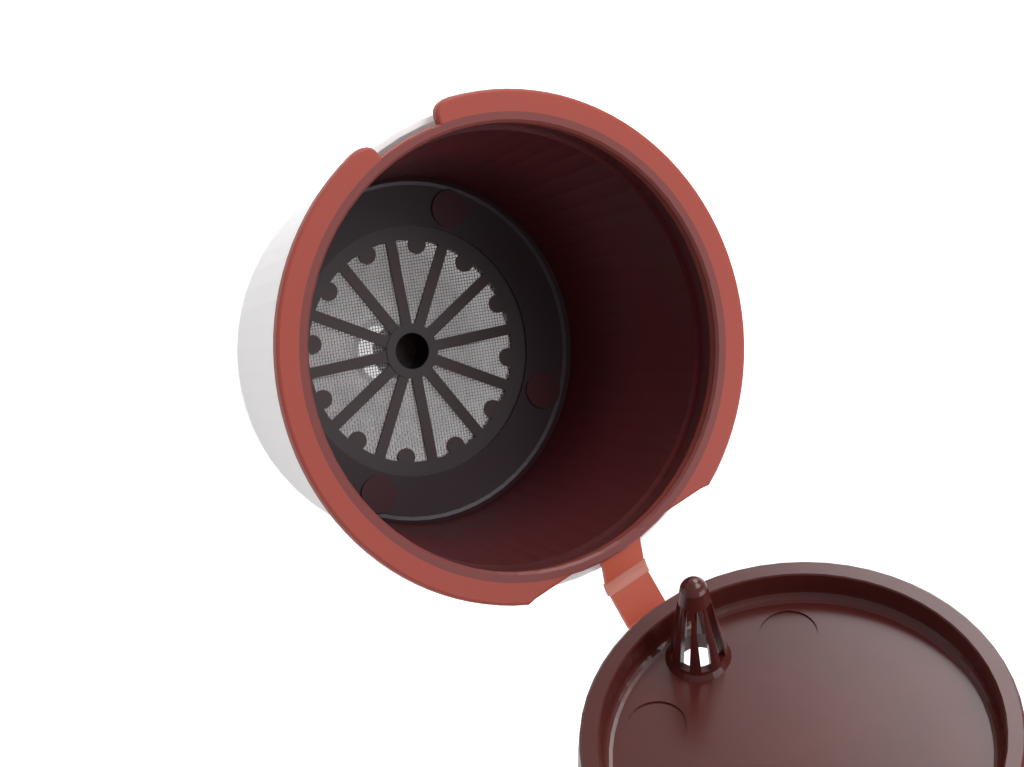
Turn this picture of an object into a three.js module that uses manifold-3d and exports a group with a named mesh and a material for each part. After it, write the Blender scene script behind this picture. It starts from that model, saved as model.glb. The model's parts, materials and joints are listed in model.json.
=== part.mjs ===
import * as THREE from 'three';
import Module from 'manifold-3d';
import { mergeVertices } from 'three/addons/utils/BufferGeometryUtils.js';

// Refillable coffee pod, in millimetres, +Z up.
// Origin: middle of the open pod's outline, on the surface it stands on. +X points towards the lid.

// Driving dimensions of the filter cup
const cupHeight = 41;
const flangeRadius = 27;
const flangeThickness = 1.4;
const mouthRadius = 23.5;
const mouthDepth = 3.9;
const mouthLeadIn = 0.3;
const shoulderWidth = 0.55;
const rimWall = 1.2;
const cupWall = 0.65;
const floorRadius = 19;
const floorDepth = 27.4;
const floorThickness = 1.5;

// Driving dimensions of the flange outline
const notchHalfAngle = 8.7;
const lobeAngle = 5;
const hingeHalfAngle = 28;
const hingeCornerAngle = 3;

// Driving dimensions of the filter in the floor
const filterRadius = 14;
const filterStep = 0.4;
const windowRadius = 12.4;
const ribCount = 12;
const ribWidth = 1.2;
const ribHeight = 0.4;
const ribTurn = 12;
const bumpRadius = 1.05;
const bumpInset = 0.5;
const hubRadius = 3.1;
const hubBore = 2;
const hubLength = 4;
const padCount = 4;
const padRadius = 2.1;
const padHeight = 0.25;
const padCircle = 16.5;

// Driving dimensions of the woven filter disc
const meshThickness = 0.3;
const meshGap = 1.25;
const meshPitch = 2.1;
const meshGrooveDepth = 0.9;
const meshTurn = 69;
const ridgeWidth = 0.3;
const ridgeHeight = 0.08;

// Driving dimensions of the outer cup
const outerWall = 0.65;
const cornerRound = 1.2;
const rimDrop = 0.8;
const footRadius = 14.2;
const footWidth = 1.8;
const footHeight = 0.6;
const baseThickness = 0.8;
const spoutBore = 3.3;
const spoutWall = 0.8;
const spoutHeight = 5.5;

// Driving dimensions of the lid, its nozzle and the strap
const lidTop = 0.9;
const lidPlate = 1.3;
const lidRimWidth = 2;
const lidDraft = 0.35;
const lidFillet = 1;
const nozzleOffset = 16.5;
const nozzleRadius = 3.1;
const nozzleTipRadius = 1.5;
const nozzleLength = 12.4;
const nozzleWall = 0.9;
const nozzleSlotWidth = 1.1;
const nozzleSlots = 8;
const markRadius = 3.1;
const markDepth = 0.2;
const markCircle = 15.4;
const markAngle = 36;
const hingeRadius = 28.2;
const hingeDrop = 2.9;
const strapWidth = 5.1;
const strapThickness = 0.6;
const strapRise = 2.3;
const creaseGap = 0.3;
const openAngle = 129;

// Clearances
const seatClearance = 0.3;
const mouthClearance = 0.4;
const grooveClearance = 0.05;

// Derived sizes
const segments = 60;
const overlap = 0.4;
const mouthZ = cupHeight;
const shoulderZ = mouthZ - mouthDepth;
const shoulderRadius = mouthRadius - shoulderWidth;
const floorZ = mouthZ - floorDepth;
const filterZ = floorZ - filterStep;
const undersideZ = floorZ - floorThickness;
const rimOuter = mouthRadius + rimWall;
const flangeZ = mouthZ - flangeThickness;
const grooveTop = filterZ - ribHeight;
const grooveBottom = grooveTop - meshThickness - 2 * grooveClearance;
const grooveRadius = windowRadius + meshGrooveDepth;
const lidRimZ = shoulderZ + seatClearance;
const lidRadius = mouthRadius - mouthClearance;
const lidTopZ = mouthZ + lidTop;
const lidFloorZ = lidTopZ - lidPlate;
const hingeZ = mouthZ - hingeDrop;
const radians = THREE.MathUtils.degToRad;

const wasm = await Module();
wasm.setup();

// Turns a closed geometry into a solid that can be joined and cut.
function solid(geometry) {
  const bare = geometry.index ? geometry.toNonIndexed() : geometry.clone();
  bare.deleteAttribute('normal');
  bare.deleteAttribute('uv');
  const merged = mergeVertices(bare, 1e-4);
  return new wasm.Manifold(new wasm.Mesh({
    numProp: 3,
    vertProperties: new Float32Array(merged.attributes.position.array),
    triVerts: new Uint32Array(merged.index.array),
  }));
}

// Turns a solid back into a geometry.
function geometryOf(shape) {
  const mesh = shape.getMesh();
  const geometry = new THREE.BufferGeometry();
  geometry.setAttribute('position', new THREE.BufferAttribute(new Float32Array(mesh.vertProperties), 3));
  geometry.setIndex(new THREE.BufferAttribute(new Uint32Array(mesh.triVerts), 1));
  geometry.computeVertexNormals();
  return geometry;
}

// Revolves a closed loop of [radius, height] points about Z.
function revolve(points, steps = segments) {
  const loop = points.map(([r, z]) => new THREE.Vector2(Math.max(r, 0), z));
  loop.push(loop[0].clone());
  const area = loop.slice(1).reduce((sum, p, i) => sum + loop[i].x * p.y - p.x * loop[i].y, 0);
  if (area < 0) loop.reverse();
  const geometry = new THREE.LatheGeometry(loop, steps);
  geometry.rotateX(Math.PI / 2);
  return solid(geometry);
}

// A round bar along Z between two heights.
function bar(radius, low, high, x = 0, y = 0, steps = 24) {
  const geometry = new THREE.CylinderGeometry(radius, radius, high - low, steps);
  geometry.rotateX(Math.PI / 2);
  geometry.translate(x, y, (low + high) / 2);
  return solid(geometry);
}

// A block that reaches out from the axis, turned by an angle in degrees.
function spoke(inner, outer, width, low, high, angle) {
  const geometry = new THREE.BoxGeometry(outer - inner, width, high - low);
  geometry.translate((inner + outer) / 2, 0, (low + high) / 2);
  geometry.rotateZ(radians(angle));
  return solid(geometry);
}

// Raises an XY outline between two heights.
function raise(shape, low, high, bevel = 0) {
  const geometry = new THREE.ExtrudeGeometry(shape, {
    depth: high - low - 2 * bevel,
    bevelEnabled: bevel > 0,
    bevelSize: bevel,
    bevelThickness: bevel,
    bevelOffset: -bevel,
    bevelSegments: 2,
    curveSegments: 12,
  });
  geometry.translate(0, 0, low + bevel);
  return solid(geometry);
}

// Carries an XZ side profile across the strap's width.
function across(points, width) {
  const shape = new THREE.Shape(points.map(([x, z]) => new THREE.Vector2(x, z)));
  const geometry = new THREE.ExtrudeGeometry(shape, { depth: width, bevelEnabled: false });
  geometry.rotateX(Math.PI / 2);
  geometry.translate(0, width / 2, 0);
  return solid(geometry);
}

function polar(radius, angle) {
  return [radius * Math.cos(radians(angle)), radius * Math.sin(radians(angle))];
}

// The flange outline: round, notched opposite the hinge and cut straight across at the hinge.
function flangeOutline() {
  const notchEdge = 180 - notchHalfAngle;
  const arcStart = hingeHalfAngle + hingeCornerAngle;
  const arcEnd = notchEdge - lobeAngle;
  const steps = 40;
  const upper = [];
  const corner = polar(flangeRadius, hingeHalfAngle);
  upper.push([corner[0], corner[1] - flangeRadius * radians(hingeCornerAngle)]);
  upper.push([corner[0] + 0.15, corner[1] - 0.35]);
  for (let i = 0; i <= steps; i += 1) {
    upper.push(polar(flangeRadius, arcStart + (arcEnd - arcStart) * i / steps));
  }
  const lobe = new THREE.QuadraticBezierCurve(
    new THREE.Vector2(...polar(flangeRadius, arcEnd)),
    new THREE.Vector2(...polar(flangeRadius, notchEdge)),
    new THREE.Vector2(...polar(rimOuter + 0.6, notchEdge)),
  );
  for (const p of lobe.getPoints(6).slice(1)) upper.push([p.x, p.y]);
  upper.push(polar(mouthRadius + rimWall / 2, notchEdge));
  const lower = upper.map(([x, y]) => [x, -y]).reverse();
  return new THREE.Shape([...upper, ...lower].map(([x, y]) => new THREE.Vector2(x, y)));
}

// The brown moulding: wall, flange, floor, ribbed filter ring and the cup's half of the strap.
function filterCup() {
  const wallFoot = floorRadius + cupWall;
  let cup = revolve([
    [mouthRadius + mouthLeadIn, mouthZ],
    [mouthRadius, mouthZ - mouthLeadIn],
    [mouthRadius, shoulderZ],
    [shoulderRadius, shoulderZ],
    [floorRadius + 0.3, floorZ + 0.5],
    [floorRadius - 0.1, floorZ + 0.1],
    [floorRadius - 0.5, floorZ],
    [filterRadius, floorZ],
    [filterRadius, filterZ],
    [windowRadius, filterZ],
    [windowRadius, grooveTop],
    [grooveRadius, grooveTop],
    [grooveRadius, grooveBottom],
    [windowRadius, grooveBottom],
    [windowRadius, undersideZ],
    [wallFoot - 0.4, undersideZ],
    [wallFoot, undersideZ + 0.4],
    [shoulderRadius + cupWall, shoulderZ - 0.8],
    [rimOuter, flangeZ],
    [rimOuter, mouthZ - 0.2],
    [rimOuter - 0.2, mouthZ],
  ]);
  const bore = bar(mouthRadius + rimWall / 2, flangeZ - 1, mouthZ + 1, 0, 0, segments);
  const flange = raise(flangeOutline(), flangeZ, mouthZ, 0.3).subtract(bore);
  cup = cup.add(flange);
  for (let i = 0; i < ribCount; i += 1) {
    const angle = ribTurn + i * 360 / ribCount;
    cup = cup.add(spoke(hubBore + 0.5, windowRadius + overlap, ribWidth, grooveTop, filterZ, angle));
    const [x, y] = polar(windowRadius - bumpInset, angle + 180 / ribCount);
    cup = cup.add(bar(bumpRadius, grooveTop, filterZ, x, y, 12));
  }
  cup = cup.add(bar(hubRadius, filterZ - hubLength, filterZ + 0.1, 0, 0, 32));
  cup = cup.subtract(bar(hubBore, filterZ - hubLength + ribHeight, filterZ + 1, 0, 0, 32));
  for (let i = 0; i < padCount; i += 1) {
    const [x, y] = polar(padCircle, 45 + i * 360 / padCount);
    cup = cup.add(bar(padRadius, floorZ - overlap, floorZ + padHeight, x, y));
  }
  const rootX = mouthRadius + rimWall / 2;
  const start = hingeRadius - creaseGap;
  const slope = strapRise / (hingeRadius - rimOuter);
  const rootZ = hingeZ + slope * (hingeRadius - rootX);
  const startZ = hingeZ + slope * creaseGap;
  cup = cup.add(across([
    [rootX, rootZ],
    [start, startZ],
    [start, startZ - strapThickness],
    [rimOuter + 0.8, hingeZ + slope * (hingeRadius - rimOuter - 0.8) - strapThickness],
    [rootX, rootZ - 2 * strapThickness],
  ], strapWidth));
  return geometryOf(cup);
}

// The steel weave: a disc with raised wires and open gaps, held in the ring's groove.
function filterMesh() {
  const high = grooveTop - grooveClearance;
  const low = high - meshThickness;
  const radius = grooveRadius - 2 * grooveClearance;
  let disc = bar(radius, low + ridgeHeight, high - ridgeHeight, 0, 0, segments);
  const reach = Math.floor(windowRadius / meshPitch);
  const holes = [];
  for (let i = -reach; i <= reach; i += 1) {
    const away = i * meshPitch;
    const half = Math.sqrt(windowRadius ** 2 - away ** 2);
    const wire = new THREE.BoxGeometry(2 * half, ridgeWidth, high - low - ridgeHeight);
    const along = wire.clone();
    along.translate(0, away + meshPitch / 2, high - (high - low - ridgeHeight) / 2);
    const over = wire.clone();
    over.rotateZ(Math.PI / 2);
    over.translate(away + meshPitch / 2, 0, low + (high - low - ridgeHeight) / 2);
    if (i < reach) {
      disc = disc.add(solid(along)).add(solid(over));
    }
    for (let j = -reach; j <= reach; j += 1) {
      const spread = Math.hypot(away, j * meshPitch);
      const clear = meshGap * Math.SQRT1_2;
      if (spread + clear < windowRadius && spread - clear > hubRadius + seatClearance) {
        const hole = new THREE.BoxGeometry(meshGap, meshGap, 2 * meshThickness);
        hole.translate(away, j * meshPitch, (low + high) / 2);
        holes.push(solid(hole));
      }
    }
  }
  for (const hole of holes) disc = disc.subtract(hole);
  disc = disc.subtract(bar(hubRadius + seatClearance, low - 1, high + 1, 0, 0, 32));
  const geometry = geometryOf(disc);
  geometry.rotateZ(radians(meshTurn));
  return geometry;
}

// The white moulding that holds the filter cup and leads the coffee to the spout.
function outerCup() {
  const topZ = flangeZ - rimDrop;
  const cornerZ = undersideZ;
  const wallFoot = floorRadius + cupWall + seatClearance;
  const slope = (rimOuter - shoulderRadius - cupWall) / (flangeZ - shoulderZ + 0.8);
  const topRadius = rimOuter + seatClearance;
  const neckRadius = shoulderRadius + cupWall + seatClearance;
  const neckZ = shoulderZ - 0.8 - slope;
  const baseZ = footHeight + baseThickness;
  return geometryOf(revolve([
    [topRadius, topZ],
    [neckRadius, neckZ],
    [wallFoot, cornerZ + 0.4],
    [wallFoot - 0.3, cornerZ - 0.1],
    [wallFoot - cornerRound - 0.1, cornerZ - cornerRound - 0.2],
    [footRadius - outerWall, baseZ + 0.4],
    [footRadius - outerWall - 0.5, baseZ],
    [spoutBore + spoutWall, baseZ],
    [spoutBore + spoutWall, spoutHeight],
    [spoutBore, spoutHeight],
    [spoutBore, footHeight],
    [footRadius - footWidth, footHeight],
    [footRadius - footWidth, 0],
    [footRadius, 0],
    [wallFoot + outerWall - cornerRound + 0.2, cornerZ - cornerRound],
    [wallFoot + outerWall - 0.2, cornerZ + 0.1],
    [wallFoot + outerWall + 0.15, cornerZ + cornerRound + 0.3],
    [neckRadius + outerWall, neckZ],
    [topRadius + outerWall, topZ - 0.6],
    [topRadius + outerWall, topZ],
  ]));
}

// The nozzle: a hollow tapered cage with a domed tip and tall slots.
function nozzle(floor) {
  const tip = floor - nozzleLength;
  const tipCentre = tip + nozzleTipRadius;
  const outside = [[0, floor + overlap], [nozzleRadius + 0.4, floor + overlap], [nozzleRadius + 0.4, floor]];
  const inside = [[0, floor + overlap + 1], [nozzleRadius - nozzleWall, floor + overlap + 1]];
  outside.push([nozzleRadius, floor - 0.6]);
  inside.push([nozzleRadius - nozzleWall, floor - 1]);
  const innerTip = nozzleTipRadius - nozzleWall * 0.7;
  for (let i = 0; i <= 5; i += 1) {
    const turn = radians(90 * i / 5);
    outside.push([nozzleTipRadius * Math.cos(turn), tipCentre - nozzleTipRadius * Math.sin(turn)]);
    inside.push([innerTip * Math.cos(turn), tipCentre + nozzleWall - innerTip * Math.sin(turn)]);
  }
  const cage = revolve(outside, 32);
  const hollow = revolve(inside, 32);
  return { cage, hollow };
}

// The lid as it lies when closed, with its nozzle and its half of the strap.
function lidGeometry() {
  const rimOut = lidRadius - lidDraft;
  const rimIn = rimOut - lidRimWidth;
  const dish = rimIn - 0.25;
  const profile = [
    [0, lidTopZ],
    [lidRadius - 0.3, lidTopZ],
    [lidRadius, lidTopZ - 0.3],
    [lidRadius, mouthZ - 0.5],
    [rimOut, lidRimZ + 0.3],
    [rimOut - 0.3, lidRimZ],
    [rimIn + 0.15, lidRimZ],
    [rimIn, lidRimZ + 0.15],
    [dish, lidFloorZ - lidFillet],
  ];
  for (let i = 1; i <= 4; i += 1) {
    const turn = radians(90 * i / 4);
    profile.push([
      dish - lidFillet + lidFillet * Math.cos(turn),
      lidFloorZ - lidFillet + lidFillet * Math.sin(turn),
    ]);
  }
  profile.push([0, lidFloorZ]);
  let lid = revolve(profile);
  const { cage, hollow } = nozzle(lidFloorZ);
  lid = lid.add(cage.translate([nozzleOffset, 0, 0]));
  lid = lid.subtract(hollow.translate([nozzleOffset, 0, 0]));
  lid = lid.subtract(bar(nozzleRadius - nozzleWall, lidFloorZ - 0.5, lidTopZ + 1, nozzleOffset, 0));
  for (let i = 0; i < nozzleSlots; i += 1) {
    const slot = spoke(0, nozzleRadius + 1, nozzleSlotWidth,
      lidFloorZ - nozzleLength + 2 * nozzleTipRadius, lidFloorZ - 1, (i + 0.5) * 360 / nozzleSlots);
    lid = lid.subtract(slot.translate([nozzleOffset, 0, 0]));
  }
  for (const angle of [markAngle, -markAngle]) {
    const [x, y] = polar(markCircle, angle);
    lid = lid.subtract(bar(markRadius, lidFloorZ - 1, lidFloorZ + markDepth, x, y, 32));
  }
  const passX = rimOuter + seatClearance;
  const passZ = mouthZ + seatClearance;
  const slope = (passZ - hingeZ) / (hingeRadius - passX);
  const start = hingeRadius - creaseGap * 0.6;
  const startZ = hingeZ + slope * (hingeRadius - start);
  lid = lid.add(across([
    [lidRadius - 1, passZ],
    [passX, passZ],
    [start, startZ],
    [start + strapThickness * 0.7, startZ + strapThickness * 0.5],
    [passX + 0.35, passZ + strapThickness],
    [lidRadius - 1, passZ + strapThickness],
  ], strapWidth));
  return geometryOf(lid);
}

function material(color, roughness, metalness = 0, opacity = 1) {
  return new THREE.MeshStandardMaterial({
    color,
    roughness,
    metalness,
    opacity,
    transparent: opacity < 1,
    flatShading: true,
  });
}

function place(name, geometry, finish) {
  const mesh = new THREE.Mesh(geometry, finish);
  mesh.name = name;
  return mesh;
}

const pod = new THREE.Group();
pod.add(place('filter_cup', filterCup(), material('#7a3226', 0.35, 0, 0.95)));
pod.add(place('filter_mesh', filterMesh(), material('#b9b9bb', 0.35, 1)));
pod.add(place('outer_cup', outerCup(), material('#ecebeb', 0.45)));

// The lid swings on the crease of the strap.
const hinge = new THREE.Group();
hinge.position.set(hingeRadius, 0, hingeZ);
hinge.rotation.y = radians(openAngle);
const lid = place('lid', lidGeometry(), material('#5c2a24', 0.3));
lid.position.set(-hingeRadius, 0, -hingeZ);
hinge.add(lid);
pod.add(hinge);

// The origin lies under the middle of the open pod.
pod.updateMatrixWorld(true);
const extent = new THREE.Box3().setFromObject(pod, true);
pod.position.x = -(extent.min.x + extent.max.x) / 2;

export default pod;
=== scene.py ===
import json
import math
import bpy
import bmesh
from mathutils import Matrix, Vector


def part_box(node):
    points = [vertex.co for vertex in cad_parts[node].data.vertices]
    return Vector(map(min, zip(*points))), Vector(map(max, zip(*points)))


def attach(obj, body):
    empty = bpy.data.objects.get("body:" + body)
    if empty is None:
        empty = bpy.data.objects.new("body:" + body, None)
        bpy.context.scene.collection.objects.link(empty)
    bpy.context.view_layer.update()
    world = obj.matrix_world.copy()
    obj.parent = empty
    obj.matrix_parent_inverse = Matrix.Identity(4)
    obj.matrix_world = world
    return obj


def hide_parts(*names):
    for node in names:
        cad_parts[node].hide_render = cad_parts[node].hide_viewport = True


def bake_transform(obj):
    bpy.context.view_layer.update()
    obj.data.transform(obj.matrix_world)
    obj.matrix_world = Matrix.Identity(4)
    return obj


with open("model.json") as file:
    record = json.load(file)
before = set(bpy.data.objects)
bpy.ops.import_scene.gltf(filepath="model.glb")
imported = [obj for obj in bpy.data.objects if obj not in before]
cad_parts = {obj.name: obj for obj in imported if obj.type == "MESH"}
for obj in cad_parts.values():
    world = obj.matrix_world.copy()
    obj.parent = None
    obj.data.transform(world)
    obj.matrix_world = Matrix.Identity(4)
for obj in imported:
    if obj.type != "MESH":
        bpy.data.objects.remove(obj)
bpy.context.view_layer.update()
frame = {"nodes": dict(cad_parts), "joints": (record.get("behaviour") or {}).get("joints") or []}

# The look of the refillable coffee pod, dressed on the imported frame. Metres, +Z up.
MM = 0.001

# Places taken from the frame
cup_low, cup_high = [Vector(corner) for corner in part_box("outer_cup")]
AXIS_X = (cup_low.x + cup_high.x) / 2
MOUTH_Z = Vector(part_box("filter_cup")[1]).z
mesh_low, mesh_high = [Vector(corner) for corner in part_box("filter_mesh")]
MESH_RADIUS = (mesh_high.x - mesh_low.x) / 2
MESH_Z = (mesh_low.z + mesh_high.z) / 2

# The photograph's camera, seen from the mouth's centre
CAMERA_PLACE = Vector((-72.57, -138.14, 329.99)) * MM
VIEW_RIGHT = Vector((0.4525, 0.7837, 0.4255))
VIEW_DOWN = Vector((0.8674, -0.4975, -0.006))
FOCAL_PIXELS = 3500
IMAGE_WIDTH = 1024
SENSOR_MM = 36
CLIP_START = 10 * MM

# The weave
WEAVE_MARGIN = 0.1 * MM
WEAVE_REACH = MESH_RADIUS - WEAVE_MARGIN
HUB_CLEAR = 3.2 * MM
WIRE_PITCH = 0.34 * MM
WIRE_RADIUS = 0.062 * MM
WAVE_LIFT = WIRE_RADIUS * 0.9
WEAVE_TURN = math.radians(69)
WIRE_SIDES = 3
WAVE_STEPS = 2

# Where the brown moulding changes its colour, or takes painted shade and light
TINT_FOOT_Z = 11 * MM
RIM_DEPTH = 0.6 * MM
RIM_REACH = 24.6 * MM
STRAP_START_X = AXIS_X + 24.75 * MM
HUB_BORE = 2.05 * MM
LID_STRAP_DEPTH = 1.0 * MM

# The round pads on the floor
PAD_CIRCLE = 16.5 * MM
PAD_RADIUS = 2.1 * MM
PAD_COUNT = 4
PAD_FIRST_ANGLE = 45
PAD_REACH_Z = 15 * MM

# The strap and its crease
STRAP_THICKNESS = 0.6 * MM
CREASE_WIDTH = 5.4 * MM
CREASE_REACH = 0.75 * MM
CREASE_PROUD = 0.04 * MM
CREASE_STEPS = 10
CUP_SIDE_RISE = CREASE_REACH * 0.62
LID_SIDE_RISE = CREASE_REACH * 0.15

# Colours
RING_BROWN = (0.06, 0.048, 0.052, 1)
FLOOR_GREY = (0.037, 0.022, 0.027, 1)
# painted shade in the corner between the floor and the wall
FILLET_PAINTED_SHADE = (0.03, 0.014, 0.016, 1)
# painted shade low on the inner wall
LOW_WALL_PAINTED_SHADE = (0.066, 0.011, 0.014, 1)
WALL_RED = (0.11, 0.011, 0.015, 1)
WALL_TOP = (0.08, 0.014, 0.015, 1)
FLANGE_RED = (0.34, 0.066, 0.048, 1)
RIM_MAUVE = (0.19, 0.05, 0.046, 1)
# painted shade: near black in the hub's bore
HUB_BORE_SHADE = (0.008, 0.007, 0.007, 1)
PAD_RED = (0.055, 0.013, 0.017, 1)
STRAP_ORANGE = (0.6, 0.13, 0.08, 1)
CREASE_PINK = (0.66, 0.3, 0.24, 1)
CREASE_RED = (0.62, 0.22, 0.16, 1)
LID_DARK = (0.075, 0.013, 0.011, 1)
LID_LIGHT = (0.09, 0.017, 0.014, 1)
WHITE_DARK = (0.92, 0.905, 0.905, 1)
WHITE_LIGHT = (0.95, 0.935, 0.935, 1)
# painted light: the white cup's glow
WHITE_PAINTED_GLOW = (1, 0.97, 0.97, 1)
STEEL_DARK = (0.5, 0.49, 0.51, 1)
STEEL_LIGHT = (0.68, 0.67, 0.69, 1)
FLOOR_WHITE = (0.9, 0.9, 0.9, 1)
PURE_WHITE = (1, 1, 1, 1)

# Colours of the brown moulding by the share of the height from TINT_FOOT_Z to the mouth: painted shade
# darkens it deeper in the cup, darkest at the fillet, and the flange is painted lit
CUP_PAINTED_SHADES = [
    (0.0, RING_BROWN),
    (0.079, RING_BROWN),
    (0.082, FLOOR_GREY),
    (0.09, FLOOR_GREY),
    (0.094, FILLET_PAINTED_SHADE),
    (0.13, LOW_WALL_PAINTED_SHADE),
    (0.55, WALL_RED),
    (0.945, WALL_TOP),
    (0.955, FLANGE_RED),
    (1.0, FLANGE_RED),
]

# Finish
PLASTIC_GRAIN = 90.0
STEEL_GRAIN = 900.0
GRAIN_DETAIL = 3.0
GRAIN_SPREAD = (0.35, 0.65)
BUMP_STRENGTH = 0.12
BUMP_DEPTH = 0.15 * MM
PLASTIC_IOR = 1.49
COAT_ROUGHNESS = 0.15
BROWN_SCATTER = (4 * MM, 1 * MM, 0.7 * MM)
WHITE_SCATTER = (3 * MM, 3 * MM, 3 * MM)
SHARP_EDGE = math.radians(32)

# Studio
SKY_STRENGTH = 0.42
BACKDROP_STRENGTH = 1.0
FLOOR_GLOW = 0.55
FLOOR_ROUGHNESS = 0.8
FLOOR_SIZE = 4
FLOOR_DROP = 0.1 * MM
LAMP_AIM = Vector((0, 0, 0.03))

# Each lamp's name, place, size and power
LAMPS = [
    ("key", (-0.25, 0.3, 0.55), 0.35, 2.1),
    ("fill", (0.35, 0.25, 0.4), 0.4, 1.5),
    ("lid_sheen", (-0.42, 0.34, 0.13), 0.24, 1.1),
]


def principled(material):
    return material.node_tree.nodes["Principled BSDF"]


def new_material(name):
    material = bpy.data.materials.new(name)
    material.use_nodes = True
    return material


def set_inputs(node, values):
    for name, value in values.items():
        node.inputs[name].default_value = value


def add_noise(material, scale):
    """Noise in object space."""
    tree = material.node_tree
    coords = tree.nodes.new("ShaderNodeTexCoord")
    noise = tree.nodes.new("ShaderNodeTexNoise")
    set_inputs(noise, {"Scale": scale, "Detail": GRAIN_DETAIL})
    tree.links.new(coords.outputs["Object"], noise.inputs["Vector"])
    return noise


def mottle(material, noise, low, high):
    """Spreads the noise between two colours for a slightly uneven base colour."""
    tree = material.node_tree
    ramp = tree.nodes.new("ShaderNodeValToRGB")
    elements = ramp.color_ramp.elements
    elements[0].position, elements[1].position = GRAIN_SPREAD
    elements[0].color = low
    elements[1].color = high
    tree.links.new(noise.outputs["Fac"], ramp.inputs["Fac"])
    tree.links.new(ramp.outputs["Color"], principled(material).inputs["Base Color"])


def add_bump(material, noise):
    tree = material.node_tree
    bump = tree.nodes.new("ShaderNodeBump")
    set_inputs(bump, {"Strength": BUMP_STRENGTH, "Distance": BUMP_DEPTH})
    tree.links.new(noise.outputs["Fac"], bump.inputs["Height"])
    tree.links.new(bump.outputs["Normal"], principled(material).inputs["Normal"])


def plastic(name, finish):
    """Moulded plastic with a faint moulded bump and no base colour yet, and its noise."""
    material = new_material(name)
    shader = principled(material)
    set_inputs(shader, {"IOR": PLASTIC_IOR, "Coat Roughness": COAT_ROUGHNESS, "Subsurface Scale": 1.0})
    set_inputs(shader, finish)
    noise = add_noise(material, PLASTIC_GRAIN)
    add_bump(material, noise)
    return material, noise


def coordinate(material, axis):
    """A point's place along one axis, in metres."""
    tree = material.node_tree
    coords = tree.nodes.new("ShaderNodeTexCoord")
    split = tree.nodes.new("ShaderNodeSeparateXYZ")
    tree.links.new(coords.outputs["Object"], split.inputs["Vector"])
    return split.outputs[axis]


def distance_from(material, x, y):
    """A point's distance from the upright line through x and y, in metres."""
    tree = material.node_tree
    coords = tree.nodes.new("ShaderNodeTexCoord")
    flat = tree.nodes.new("ShaderNodeVectorMath")
    flat.operation = "MULTIPLY"
    flat.inputs[1].default_value = (1, 1, 0)
    distance = tree.nodes.new("ShaderNodeVectorMath")
    distance.operation = "DISTANCE"
    distance.inputs[1].default_value = (x, y, 0)
    tree.links.new(coords.outputs["Object"], flat.inputs[0])
    tree.links.new(flat.outputs[0], distance.inputs[0])
    return distance.outputs["Value"]


def compare(material, operation, value, limit):
    node = material.node_tree.nodes.new("ShaderNodeMath")
    node.operation = operation
    node.inputs[1].default_value = limit
    material.node_tree.links.new(value, node.inputs[0])
    return node.outputs[0]


def above(material, value, limit):
    """One where the value is over the limit and nought elsewhere."""
    return compare(material, "GREATER_THAN", value, limit)


def below(material, value, limit):
    """One where the value is under the limit and nought elsewhere."""
    return compare(material, "LESS_THAN", value, limit)


def both(material, first, second):
    """One where both masks are one and nought elsewhere."""
    node = material.node_tree.nodes.new("ShaderNodeMath")
    node.operation = "MULTIPLY"
    material.node_tree.links.new(first, node.inputs[0])
    material.node_tree.links.new(second, node.inputs[1])
    return node.outputs[0]


def shade_by_height(material, height, z_low, z_high, shades):
    """Makes the base colour from the height: painted light at the rim, painted shade inside the cup.
    """
    tree = material.node_tree
    span = tree.nodes.new("ShaderNodeMapRange")
    set_inputs(span, {"From Min": z_low, "From Max": z_high})
    ramp = tree.nodes.new("ShaderNodeValToRGB")
    elements = ramp.color_ramp.elements
    elements[0].position, elements[0].color = shades[0]
    elements[1].position, elements[1].color = shades[-1]
    for share, colour in shades[1:-1]:
        elements.new(share).color = colour
    tree.links.new(height, span.inputs["Value"])
    tree.links.new(span.outputs["Result"], ramp.inputs["Fac"])
    tree.links.new(ramp.outputs["Color"], principled(material).inputs["Base Color"])


def tint(material, mask, colour):
    """Lays a colour over the base colour where the mask is one."""
    tree = material.node_tree
    base = principled(material).inputs["Base Color"]
    before = base.links[0].from_socket
    mix = tree.nodes.new("ShaderNodeMix")
    mix.data_type = "RGBA"
    under, over = [socket for socket in mix.inputs if socket.type == "RGBA"]
    over.default_value = colour
    tree.links.new(before, under)
    tree.links.new(mask, mix.inputs[0])
    mixed = [socket for socket in mix.outputs if socket.type == "RGBA"][0]
    tree.links.new(mixed, base)


def brown_plastic():
    """The translucent moulding of the filter cup."""
    material, _ = plastic("brown_plastic", {
        "Roughness": 0.36,
        "Specular IOR Level": 0.3,
        "Subsurface Weight": 0.12,
        "Subsurface Radius": BROWN_SCATTER,
    })
    along = coordinate(material, "X")
    height = coordinate(material, "Z")
    radius = distance_from(material, AXIS_X, 0)
    # painted shade inside the cup and painted light on the flange, by height
    shade_by_height(material, height, TINT_FOOT_Z, MOUTH_Z, CUP_PAINTED_SHADES)
    near_mouth = above(material, height, MOUTH_Z - RIM_DEPTH)
    inside_rim = below(material, radius, RIM_REACH)
    tint(material, both(material, near_mouth, inside_rim), RIM_MAUVE)
    tint(material, above(material, along, STRAP_START_X), STRAP_ORANGE)
    # painted shade in the hub's bore
    tint(material, below(material, radius, HUB_BORE), HUB_BORE_SHADE)
    near_floor = below(material, height, PAD_REACH_Z)
    for i in range(PAD_COUNT):
        angle = math.radians(PAD_FIRST_ANGLE + i * 360 / PAD_COUNT)
        pad_x = AXIS_X + PAD_CIRCLE * math.cos(angle)
        pad_y = PAD_CIRCLE * math.sin(angle)
        on_pad = below(material, distance_from(material, pad_x, pad_y), PAD_RADIUS)
        tint(material, both(material, near_floor, on_pad), PAD_RED)
    return material


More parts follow.
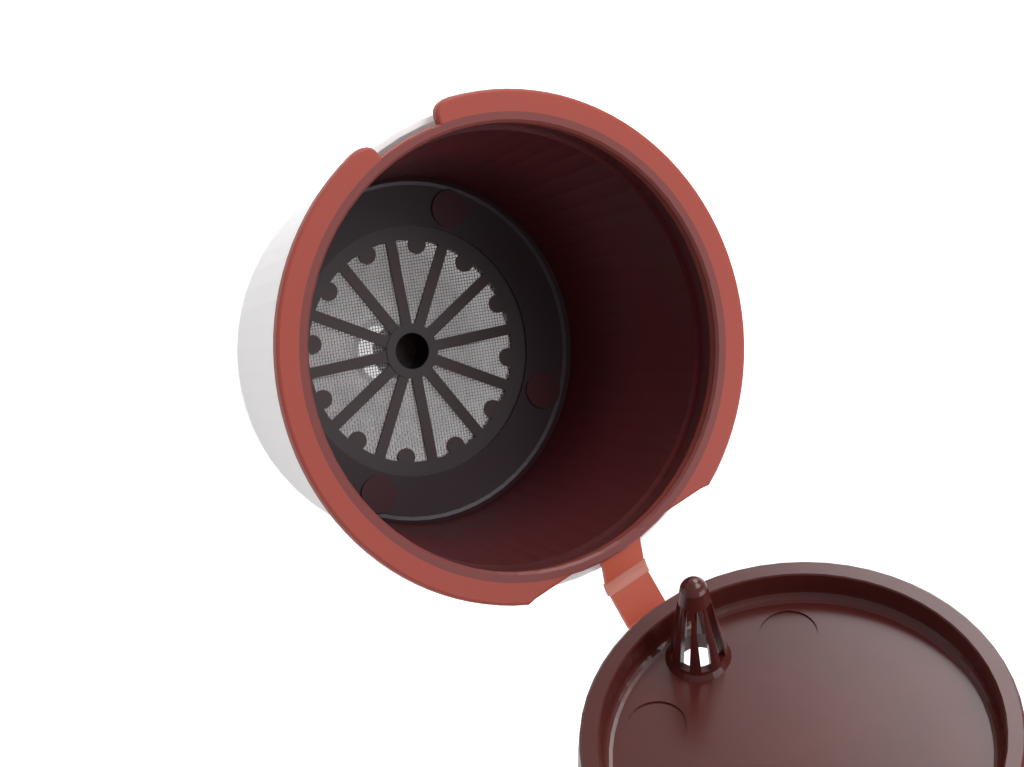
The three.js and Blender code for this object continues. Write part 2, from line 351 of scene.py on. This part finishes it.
def white_plastic():
    """The white cup, with a faint painted glow for the light that passes through its wall."""
    material, noise = plastic("white_plastic", {
        "Roughness": 0.4,
        "Subsurface Weight": 0.3,
        "Subsurface Radius": WHITE_SCATTER,
        # painted light: the emission brightens the white cup
        "Emission Color": WHITE_PAINTED_GLOW,
        "Emission Strength": 0.13,
    })
    mottle(material, noise, WHITE_DARK, WHITE_LIGHT)
    return material


def lid_plastic():
    """The glossy lid, with the light strap below it."""
    material, noise = plastic("lid_plastic", {
        "Roughness": 0.24,
        "Specular IOR Level": 0.4,
        "Coat Weight": 0.12,
        "Subsurface Weight": 0.05,
        "Subsurface Radius": BROWN_SCATTER,
    })
    mottle(material, noise, LID_DARK, LID_LIGHT)
    on_strap = below(material, coordinate(material, "Z"), MOUTH_Z - LID_STRAP_DEPTH)
    tint(material, on_strap, STRAP_ORANGE)
    return material


def crease_plastic():
    """The strap's stress-whitened fold."""
    material, noise = plastic("crease_plastic", {
        "Roughness": 0.45,
        "Subsurface Weight": 0.2,
        "Subsurface Radius": BROWN_SCATTER,
    })
    mottle(material, noise, CREASE_PINK, CREASE_RED)
    return material


def woven_steel():
    material = new_material("woven_steel")
    set_inputs(principled(material), {"Metallic": 0.6, "Roughness": 0.45})
    mottle(material, add_noise(material, STEEL_GRAIN), STEEL_DARK, STEEL_LIGHT)
    return material


def smooth(piece):
    """Shades the facets smoothly and keeps the edges sharp, without a change to the mesh."""
    modifier = piece.modifiers.new("smooth", "EDGE_SPLIT")
    modifier.split_angle = SHARP_EDGE
    for polygon in piece.data.polygons:
        polygon.use_smooth = True


def dress_nodes():
    """Gives every node that stays its material."""
    dressed = {"filter_cup": brown_plastic(), "outer_cup": white_plastic(), "lid": lid_plastic()}
    for node, material in dressed.items():
        piece = frame["nodes"][node]
        smooth(piece)
        if not piece.material_slots:
            piece.data.materials.append(material)
        for slot in piece.material_slots:
            slot.material = material


def skin(builder, rings):
    """Closes a row of rings into a tube with two ends."""
    sides = len(rings[0])
    for first, second in zip(rings, rings[1:]):
        for side in range(sides):
            other = (side + 1) % sides
            builder.faces.new((first[side], second[side], second[other], first[other]))
    builder.faces.new(rings[0])
    builder.faces.new(list(reversed(rings[-1])))


def new_piece(builder, name, material):
    """Makes the built shape a piece of the scene."""
    bmesh.ops.recalc_face_normals(builder, faces=builder.faces)
    mesh = bpy.data.meshes.new(name)
    builder.to_mesh(mesh)
    builder.free()
    mesh.materials.append(material)
    piece = bpy.data.objects.new(name, mesh)
    bpy.context.scene.collection.objects.link(piece)
    return piece


def wire(builder, begin, end, across, turned, phase):
    """One stretch of woven wire: a thin tube that rises and falls between its neighbours."""
    count = max(2, int((end - begin) / WIRE_PITCH * WAVE_STEPS))
    turn = Matrix.Rotation(WEAVE_TURN, 3, "Z")
    rings = []
    for i in range(count + 1):
        along = begin + (end - begin) * i / count
        lift = WAVE_LIFT * math.cos(math.pi * along / WIRE_PITCH + phase)
        ring = []
        for side in range(WIRE_SIDES):
            angle = 2 * math.pi * side / WIRE_SIDES
            offset = across + WIRE_RADIUS * math.cos(angle)
            height = MESH_Z + lift + WIRE_RADIUS * math.sin(angle)
            place = turn @ (Vector((-offset, along, 0)) if turned else Vector((along, offset, 0)))
            ring.append(builder.verts.new((place.x + AXIS_X, place.y, height)))
        rings.append(ring)
    skin(builder, rings)


def wire_runs(away):
    """The stretches of a wire that lie inside the ring and outside the hub."""
    half = math.sqrt(WEAVE_REACH ** 2 - away ** 2)
    if abs(away) >= HUB_CLEAR:
        return [(-half, half)]
    hub = math.sqrt(HUB_CLEAR ** 2 - away ** 2)
    return [(-half, -hub), (hub, half)]


def woven_filter():
    """The plain weave, wire by wire, in the place of the ridged disc."""
    builder = bmesh.new()
    count = int((WEAVE_REACH - WIRE_PITCH) / WIRE_PITCH)
    for i in range(-count, count + 1):
        away = i * WIRE_PITCH
        phase = math.pi * (i % 2)
        for begin, end in wire_runs(away):
            wire(builder, begin, end, away, False, phase)
            wire(builder, begin, end, away, True, phase + math.pi)
    piece = new_piece(builder, "woven_filter", woven_steel())
    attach(piece, "cup")
    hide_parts("filter_mesh")


def strap_crease():
    """The stress-whitened fold that joins the strap's halves."""
    joint = [entry for entry in frame["joints"] if entry["name"] == "lid_hinge"][0]
    pivot = Vector(joint["pos_m"])
    towards_cup = Vector((-CREASE_REACH, 0, CUP_SIDE_RISE))
    towards_lid = Vector((CREASE_REACH, 0, LID_SIDE_RISE))
    half = CREASE_WIDTH / 2
    builder = bmesh.new()
    rings = []
    for i in range(CREASE_STEPS + 1):
        share = i / CREASE_STEPS
        line = towards_cup * (1 - share) ** 2 + towards_lid * share ** 2
        top = pivot + line + Vector((0, 0, CREASE_PROUD))
        low = top - Vector((0, 0, STRAP_THICKNESS + 2 * CREASE_PROUD))
        ring = []
        for place, side in ((top, -1), (top, 1), (low, 1), (low, -1)):
            ring.append(builder.verts.new((place.x, side * half, place.z)))
        rings.append(ring)
    skin(builder, rings)
    piece = new_piece(builder, "strap_crease", crease_plastic())
    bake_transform(piece)


def sky():
    """Soft light from all round, and a white backdrop for the camera alone."""
    world = bpy.data.worlds.new("studio")
    bpy.context.scene.world = world
    world.use_nodes = True
    tree = world.node_tree
    background = tree.nodes["Background"]
    set_inputs(background, {"Color": PURE_WHITE, "Strength": SKY_STRENGTH})
    backdrop = tree.nodes.new("ShaderNodeBackground")
    set_inputs(backdrop, {"Color": PURE_WHITE, "Strength": BACKDROP_STRENGTH})
    mix = tree.nodes.new("ShaderNodeMixShader")
    path = tree.nodes.new("ShaderNodeLightPath")
    tree.links.new(path.outputs["Is Camera Ray"], mix.inputs["Fac"])
    tree.links.new(background.outputs["Background"], mix.inputs[1])
    tree.links.new(backdrop.outputs["Background"], mix.inputs[2])
    tree.links.new(mix.outputs["Shader"], tree.nodes["World Output"].inputs["Surface"])


def lamp(name, place, size, power):
    data = bpy.data.lights.new(name, "AREA")
    data.size = size
    data.energy = power
    piece = bpy.data.objects.new(name, data)
    piece.location = place
    aim = LAMP_AIM - Vector(place)
    piece.rotation_euler = aim.to_track_quat("-Z", "Y").to_euler()
    bpy.context.scene.collection.objects.link(piece)


def floor_material():
    """Pale, with a glow that only the camera sees, so that it looks white where no shadow falls."""
    material = new_material("floor")
    shader = principled(material)
    set_inputs(shader, {"Base Color": FLOOR_WHITE, "Roughness": FLOOR_ROUGHNESS})
    tree = material.node_tree
    glow = tree.nodes.new("ShaderNodeEmission")
    set_inputs(glow, {"Color": PURE_WHITE, "Strength": FLOOR_GLOW})
    add = tree.nodes.new("ShaderNodeAddShader")
    mix = tree.nodes.new("ShaderNodeMixShader")
    path = tree.nodes.new("ShaderNodeLightPath")
    tree.links.new(shader.outputs["BSDF"], add.inputs[0])
    tree.links.new(glow.outputs["Emission"], add.inputs[1])
    tree.links.new(path.outputs["Is Camera Ray"], mix.inputs["Fac"])
    tree.links.new(shader.outputs["BSDF"], mix.inputs[1])
    tree.links.new(add.outputs["Shader"], mix.inputs[2])
    tree.links.new(mix.outputs["Shader"], tree.nodes["Material Output"].inputs["Surface"])
    return material


def floor():
    bpy.ops.mesh.primitive_plane_add(size=FLOOR_SIZE, location=(0, 0, -FLOOR_DROP))
    ground = bpy.context.active_object
    ground.name = "floor"
    ground.data.materials.append(floor_material())


def camera():
    data = bpy.data.cameras.new("camera")
    data.sensor_width = SENSOR_MM
    data.lens = FOCAL_PIXELS * SENSOR_MM / IMAGE_WIDTH
    data.clip_start = CLIP_START
    piece = bpy.data.objects.new("camera", data)
    right = VIEW_RIGHT.normalized()
    up = -VIEW_DOWN.normalized()
    back = right.cross(up)
    turn = Matrix((right, up, back)).transposed()
    place = Vector((AXIS_X, 0, MOUTH_Z)) + CAMERA_PLACE
    piece.matrix_world = Matrix.Translation(place) @ turn.to_4x4()
    bpy.context.scene.collection.objects.link(piece)
    bpy.context.scene.camera = piece


bpy.context.scene.view_settings.view_transform = "Standard"
camera()
sky()
for lamp_values in LAMPS:
    lamp(*lamp_values)
floor()
dress_nodes()
woven_filter()
strap_crease()
